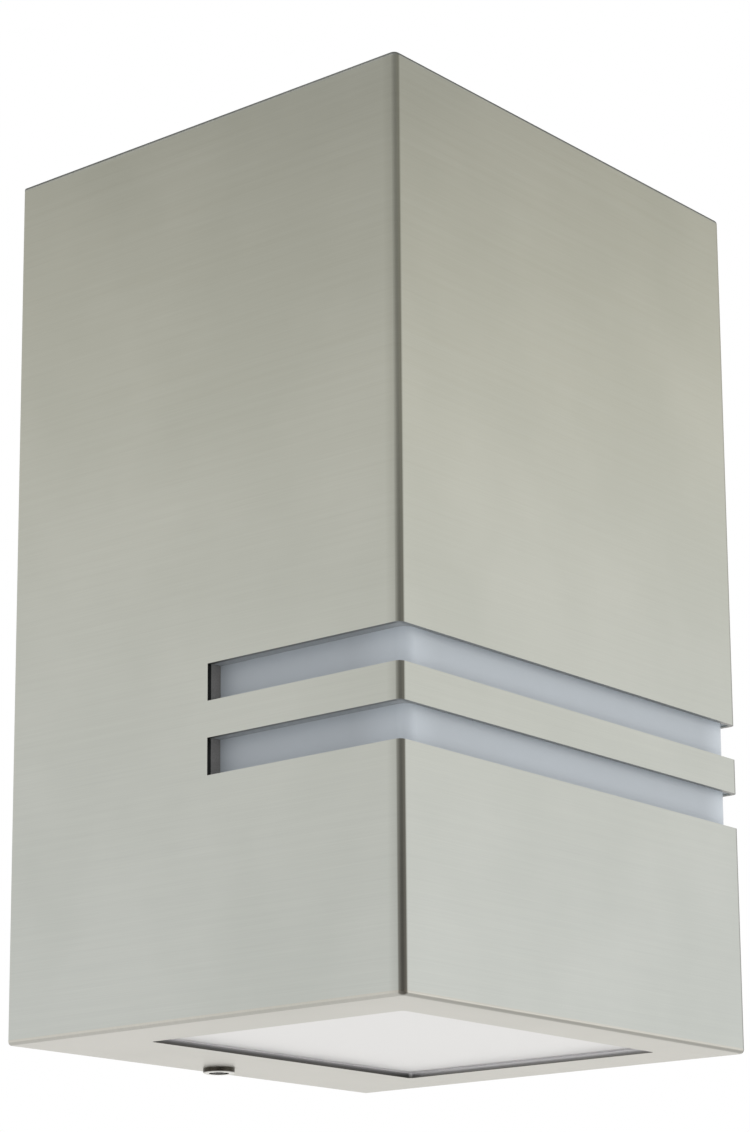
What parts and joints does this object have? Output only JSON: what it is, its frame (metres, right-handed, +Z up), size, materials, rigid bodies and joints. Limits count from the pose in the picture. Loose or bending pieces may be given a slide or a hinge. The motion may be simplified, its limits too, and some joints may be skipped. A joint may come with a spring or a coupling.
{
  "type": "outdoor wall light",
  "caption": "Box-shaped outdoor wall light in brushed stainless steel, with wrap-round light slots, a glazed bottom window, and a pull-off cover on a wall plate with lampholder and bulb.",
  "frame": {"origin": "midway between the two wall screws, on the wall plane", "axes": "+Z up, +Y into the wall, so the front faces -Y; +X to the right for someone facing the front"},
  "size_m": [0.11, 0.1, 0.181],
  "materials": {
    "cover_steel": "horizontal brushed grain",
    "plated_steel": "bright zinc plated",
    "screw_steel": "plain turned",
    "black_rubber": "matte",
    "pale_silicone": "translucent tape",
    "grey_foam": "closed-cell foam",
    "satin_glass": "satin, back-painted white",
    "opal_plastic": "opal",
    "white_nylon": "moulded",
    "rivet_aluminium": "bright",
    "porcelain": "white glaze",
    "contact_brass": "bright",
    "opal_glass": "opal",
    "cap_aluminium": "rolled",
    "black_glass": "gloss",
    "brown_insulation": "extruded",
    "blue_insulation": "extruded"
  },
  "bodies": {
    "wall_mount": {"wall_plate": "plated_steel", "wall_gasket": "black_rubber", "cable_grommet": "black_rubber", "lamp_bracket": "plated_steel", "bracket_rivets": "rivet_aluminium", "lampholder_body": "porcelain", "lampholder_shell": "contact_brass", "contact_spring": "plated_steel", "holder_nipple": "contact_brass", "holder_nut": "contact_brass", "terminal_block": "white_nylon", "terminal_tubes": "contact_brass", "terminal_screws": "screw_steel", "block_screw": "screw_steel", "earth_stud": "contact_brass", "earth_washer": "contact_brass", "earth_nut": "contact_brass", "lead_live": "brown_insulation", "lead_neutral": "blue_insulation"},
    "cover": {"housing_shell": "cover_steel", "top_plate": "cover_steel", "bottom_frame": "cover_steel", "window_gasket": "pale_silicone", "window_glass": "satin_glass", "glass_clips": "plated_steel", "glass_studs": "plated_steel", "glass_nuts": "plated_steel", "slot_seal": "grey_foam", "slot_diffuser": "opal_plastic", "diffuser_clamps": "plated_steel", "clamp_studs": "plated_steel", "clamp_nuts": "plated_steel", "threaded_insert": "plated_steel"},
    "thrust_pad": {"lock_screw_pad": "white_nylon"},
    "grub_screw": {"lock_screw": "screw_steel"},
    "sprung_contact": {"centre_contact": "contact_brass"},
    "bulb": {"bulb_globe": "opal_glass", "bulb_cap": "cap_aluminium", "bulb_insulator": "black_glass", "bulb_contact": "contact_brass"}
  },
  "joints": [
    {"name": "cover_pull", "type": "slide", "parent": "wall_mount", "child": "cover", "axis": [0, -1, 0], "range_m": [0, 0.12]},
    {"name": "lock_screw_travel", "type": "slide", "parent": "cover", "child": "thrust_pad", "axis": [0, 0, -1], "range_m": [0, 0.0035]},
    {"name": "lock_screw_turn", "type": "hinge", "parent": "thrust_pad", "child": "grub_screw", "pos_m": [0, -0.0055, -0.088], "axis": [0, 0, -1], "range_deg": [0, 1800]},
    {"name": "contact_travel", "type": "slide", "parent": "wall_mount", "child": "sprung_contact", "axis": [0, 0, -1], "range_m": [0, 0.00364], "deforming": ["contact_spring"]},
    {"name": "bulb_turn", "type": "hinge", "parent": "sprung_contact", "child": "bulb", "pos_m": [0, -0.04985, 0], "axis": [0, 0, -1], "range_deg": [0, 360]}
  ],
  "couplings": [
    {"joint": "lock_screw_turn", "follows": "lock_screw_travel", "rad_per_m": 8976},
    {"joint": "contact_travel", "follows": "bulb_turn", "m_per_rad": 0.00057757}
  ]
}
